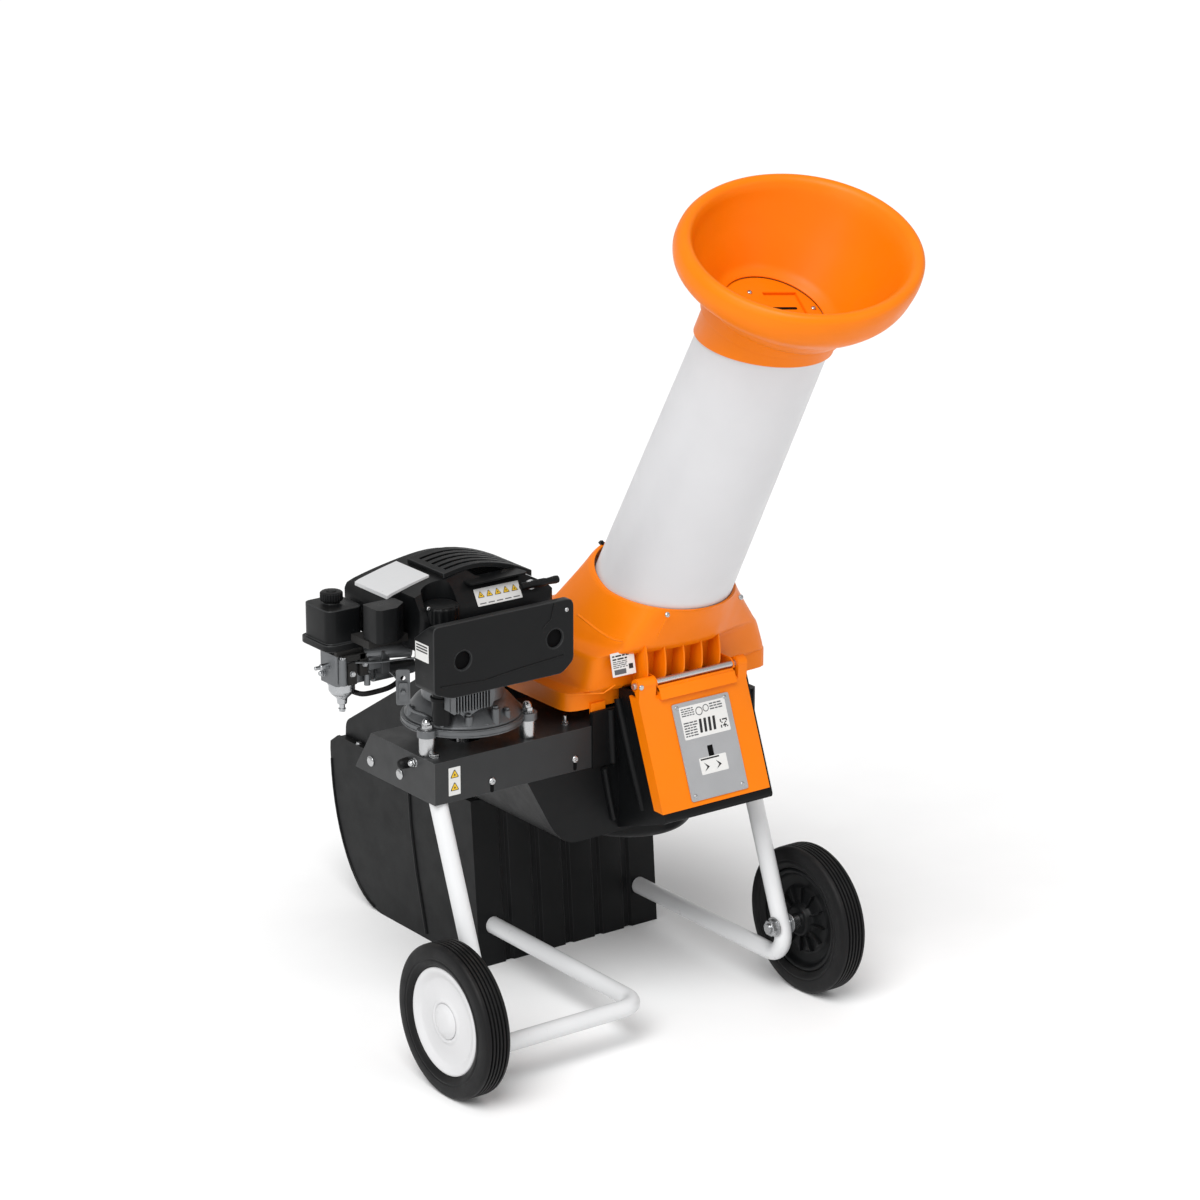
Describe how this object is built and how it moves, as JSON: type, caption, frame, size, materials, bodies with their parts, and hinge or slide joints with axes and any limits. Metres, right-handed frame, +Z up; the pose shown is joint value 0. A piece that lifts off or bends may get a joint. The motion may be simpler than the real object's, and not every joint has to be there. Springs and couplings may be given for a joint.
{
  "type": "wood chipper",
  "caption": "Petrol garden wood chipper on two wheels: tilted feed funnel and tube over an orange tilting hood, side engine, flat cutter disc and a ribbed black discharge chute.",
  "frame": {"origin": "middle of the machine's footprint on the ground", "axes": "+X along the wheel axle towards the cutter side, +Y from the feed side to the discharge side, +Z up"},
  "size_m": [0.816, 1.2224, 1.4027],
  "materials": {
    "black_plastic": "satin, finely textured moulding",
    "pale_paint": "smooth pale grey coating",
    "tyre_rubber": "dull, four grooves round the tread",
    "hub_plastic": "smooth white moulding",
    "zinc_steel": "bright zinc plated",
    "grey_paint": "satin dark grey coating",
    "cast_alloy": "as cast, slightly rough",
    "trim_silver": "light silver trim",
    "plate_aluminium": "printed data plate",
    "belt_rubber": "dull black rubber",
    "orange_plastic": "satin orange moulding",
    "feed_white": "smooth off-white tube"
  },
  "bodies": {
    "machine": {"right_leg_tube": "pale_paint", "left_leg_tube": "pale_paint", "left_axle_spacer": "zinc_steel", "left_axle_bolt": "zinc_steel", "left_axle_nut": "zinc_steel", "right_axle_spacer": "zinc_steel", "right_axle_bolt": "zinc_steel", "right_axle_nut": "zinc_steel", "base_plate": "grey_paint", "engine_standoff_1": "zinc_steel", "engine_bolt_1": "zinc_steel", "engine_standoff_2": "zinc_steel", "engine_bolt_2": "zinc_steel", "engine_standoff_3": "zinc_steel", "engine_bolt_3": "zinc_steel", "crankcase": "cast_alloy", "cylinder_head": "cast_alloy", "exhaust_silencer": "zinc_steel", "exhaust_cover": "black_plastic", "blower_shroud": "black_plastic", "intake_grille": "black_plastic", "trim_panel": "trim_silver", "fuel_tank": "black_plastic", "air_cleaner": "black_plastic", "carburettor": "cast_alloy", "oil_filler_neck": "black_plastic", "drive_belt": "belt_rubber", "chamber_wall": "grey_paint", "bearing_housing": "cast_alloy", "lower_housing": "black_plastic", "bottom_pan": "black_plastic", "front_cover": "orange_plastic", "hinge_rod": "zinc_steel", "data_plate": "plate_aluminium", "discharge_chute": "black_plastic", "discharge_duct": "black_plastic"},
    "left_wheel": {"left_tyre": "tyre_rubber", "left_wheel_disc": "hub_plastic", "left_hub_cap": "hub_plastic"},
    "right_wheel": {"right_tyre": "tyre_rubber", "right_wheel_disc": "hub_plastic", "right_hub_cap": "hub_plastic"},
    "hopper": {"hood": "orange_plastic", "feed_tube": "feed_white", "funnel": "orange_plastic"},
    "feed_flap": {"feed_flap": "belt_rubber"},
    "lock_knob": {"lock_knob": "black_plastic"},
    "crank": {"crankshaft": "zinc_steel", "flywheel": "cast_alloy", "crank_pulley": "zinc_steel"},
    "cutter": {"cutter_shaft": "zinc_steel", "cutter_pulley": "zinc_steel", "knife_disc": "zinc_steel", "knife_nut": "zinc_steel", "knife_1": "zinc_steel", "knife_2": "zinc_steel"},
    "chute_extension": {"chute_extension": "black_plastic"},
    "start_handle": {"start_handle": "black_plastic"},
    "fuel_cap": {"fuel_cap": "black_plastic"},
    "oil_cap": {"oil_cap": "black_plastic"}
  },
  "joints": [
    {"name": "left_wheel_spin", "type": "hinge", "parent": "machine", "child": "left_wheel", "pos_m": [-0.3237, -0.23281, 0.125], "axis": [1, 0, 0], "continuous": true},
    {"name": "right_wheel_spin", "type": "hinge", "parent": "machine", "child": "right_wheel", "pos_m": [0.3837, -0.23281, 0.125], "axis": [1, 0, 0], "continuous": true},
    {"name": "hopper_tilt", "type": "hinge", "parent": "machine", "child": "hopper", "pos_m": [0.178, -0.18381, 0.58], "axis": [1, 0, 0], "range_deg": [0, 65]},
    {"name": "feed_flap_swing", "type": "hinge", "parent": "hopper", "child": "feed_flap", "pos_m": [0.178, -0.30445, 1.24758], "axis": [1, 0, 0], "range_deg": [0, 50], "stiffness_Nm_per_rad": 1, "springref_deg": -8.59},
    {"name": "lock_knob_turn", "type": "hinge", "parent": "hopper", "child": "lock_knob", "pos_m": [0.383, 0.02719, 0.551], "axis": [1, 0, 0], "range_deg": [0, 1080]},
    {"name": "cutter_spin", "type": "hinge", "parent": "machine", "child": "cutter", "pos_m": [0.178, -0.00981, 0.5], "axis": [0, 0, 1], "continuous": true},
    {"name": "crank_spin", "type": "hinge", "parent": "machine", "child": "crank", "pos_m": [-0.176, -0.04881, 0.5], "axis": [0, 0, 1], "continuous": true},
    {"name": "chute_extension_swing", "type": "hinge", "parent": "machine", "child": "chute_extension", "pos_m": [0.1765, 0.60419, 0.264], "axis": [1, 0, 0], "range_deg": [0, 75]},
    {"name": "start_handle_pull", "type": "slide", "parent": "machine", "child": "start_handle", "axis": [0, -0.9397, 0.342], "range_m": [0, 0.6], "stiffness_N_per_m": 15, "springref_m": -0.2},
    {"name": "fuel_cap_twist", "type": "hinge", "parent": "machine", "child": "fuel_cap", "pos_m": [-0.371, 0.02319, 0.76], "axis": [0, 0, 1], "range_deg": [0, 360]},
    {"name": "oil_cap_twist", "type": "hinge", "parent": "machine", "child": "oil_cap", "pos_m": [-0.254, -0.10481, 0.737], "axis": [0, 0, 1], "range_deg": [0, 90]}
  ],
  "couplings": [
    {"joint": "crank_spin", "follows": "cutter_spin", "ratio": 1.5208}
  ]
}
